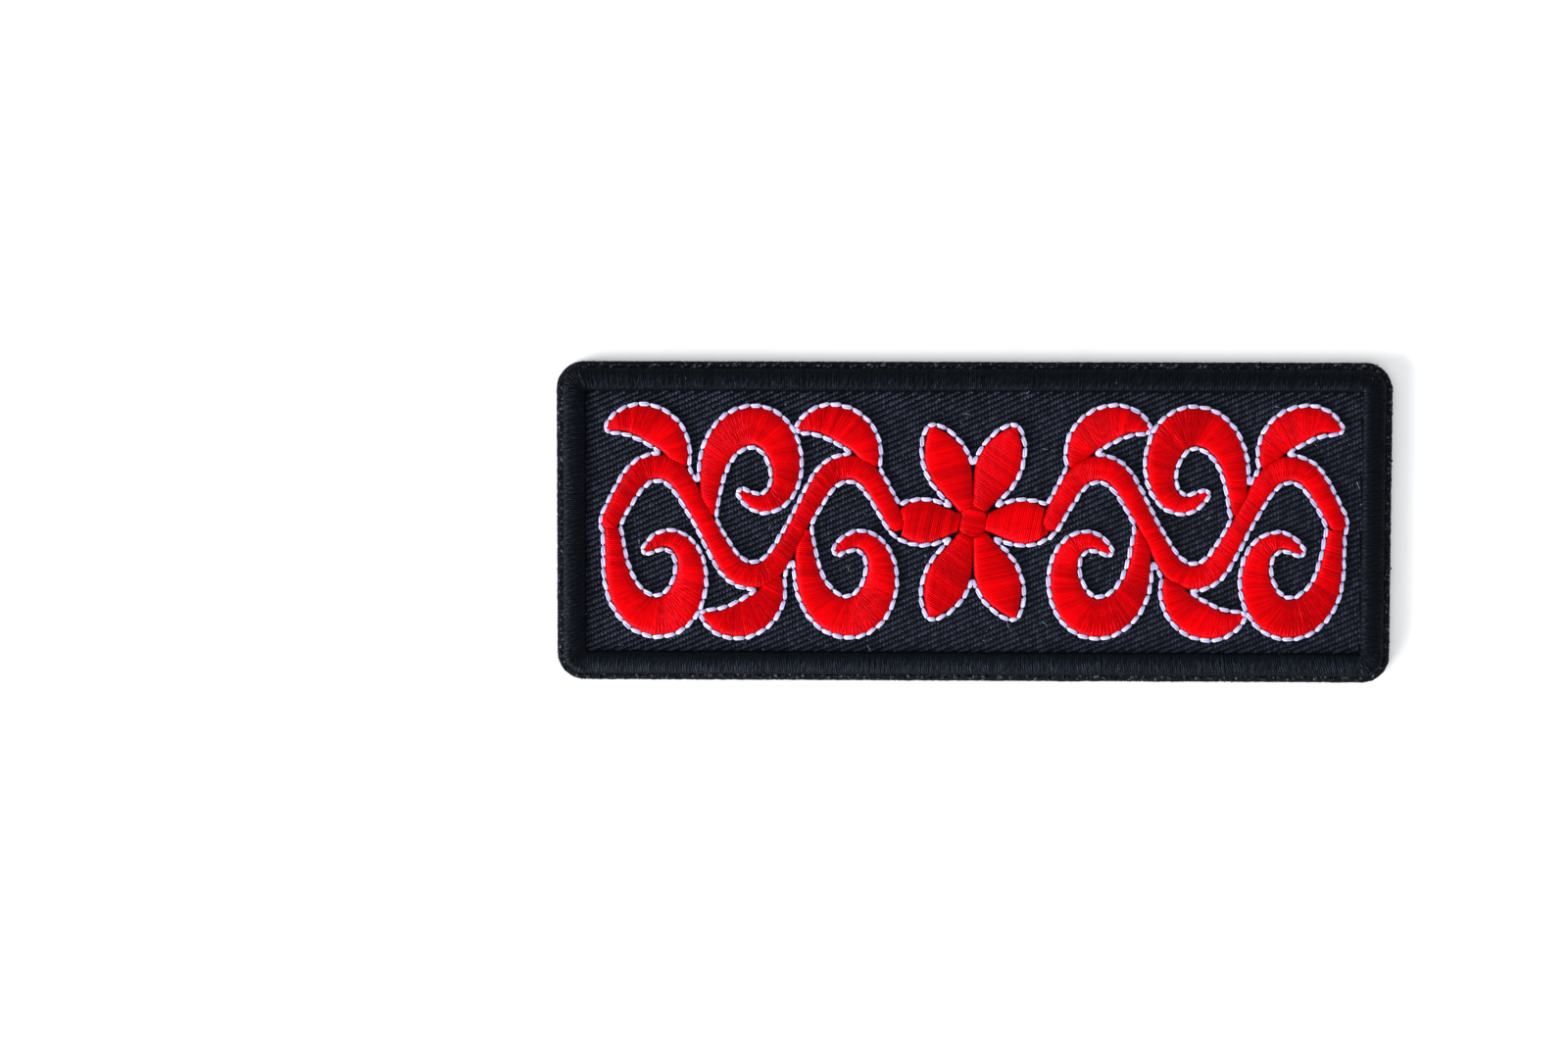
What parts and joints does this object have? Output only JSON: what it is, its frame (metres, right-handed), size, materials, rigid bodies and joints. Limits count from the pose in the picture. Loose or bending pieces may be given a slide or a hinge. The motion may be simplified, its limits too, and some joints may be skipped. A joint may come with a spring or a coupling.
{
  "type": "embroidered patch",
  "caption": "Rectangular embroidered patch: black twill ground, raised satin-stitch border, and a red satin flower with scrolling vines, outlined in white running stitch.",
  "frame": {"origin": "middle of the flat back face, which lies on the surface", "axes": "+X along the patch's length, +Y up its face as worn, +Z out of its stitched face"},
  "size_m": [0.1016, 0.0388, 0.0019],
  "materials": {
    "black_twill": "matt cotton-blend twill",
    "black_satin": "glossy embroidery thread",
    "red_satin": "glossy embroidery thread",
    "white_thread": "glossy embroidery thread"
  },
  "bodies": {
    "root": {"twill_ground": "black_twill", "satin_border": "black_satin", "boss": "red_satin", "curl_left_1": "red_satin", "curl_left_2": "red_satin", "curl_left_3": "red_satin", "curl_right_1": "red_satin", "curl_right_2": "red_satin", "curl_right_3": "red_satin", "leaf_left_1": "red_satin", "leaf_left_2": "red_satin", "leaf_left_3": "red_satin", "leaf_right_1": "red_satin", "leaf_right_2": "red_satin", "leaf_right_3": "red_satin", "petal_1": "red_satin", "petal_2": "red_satin", "petal_3": "red_satin", "petal_4": "red_satin", "petal_5": "red_satin", "petal_6": "red_satin", "stem_left_1": "red_satin", "stem_left_2": "red_satin", "stem_left_3": "red_satin", "stem_right_1": "red_satin", "stem_right_2": "red_satin", "stem_right_3": "red_satin", "white_outline": "white_thread"}
  },
  "joints": []
}
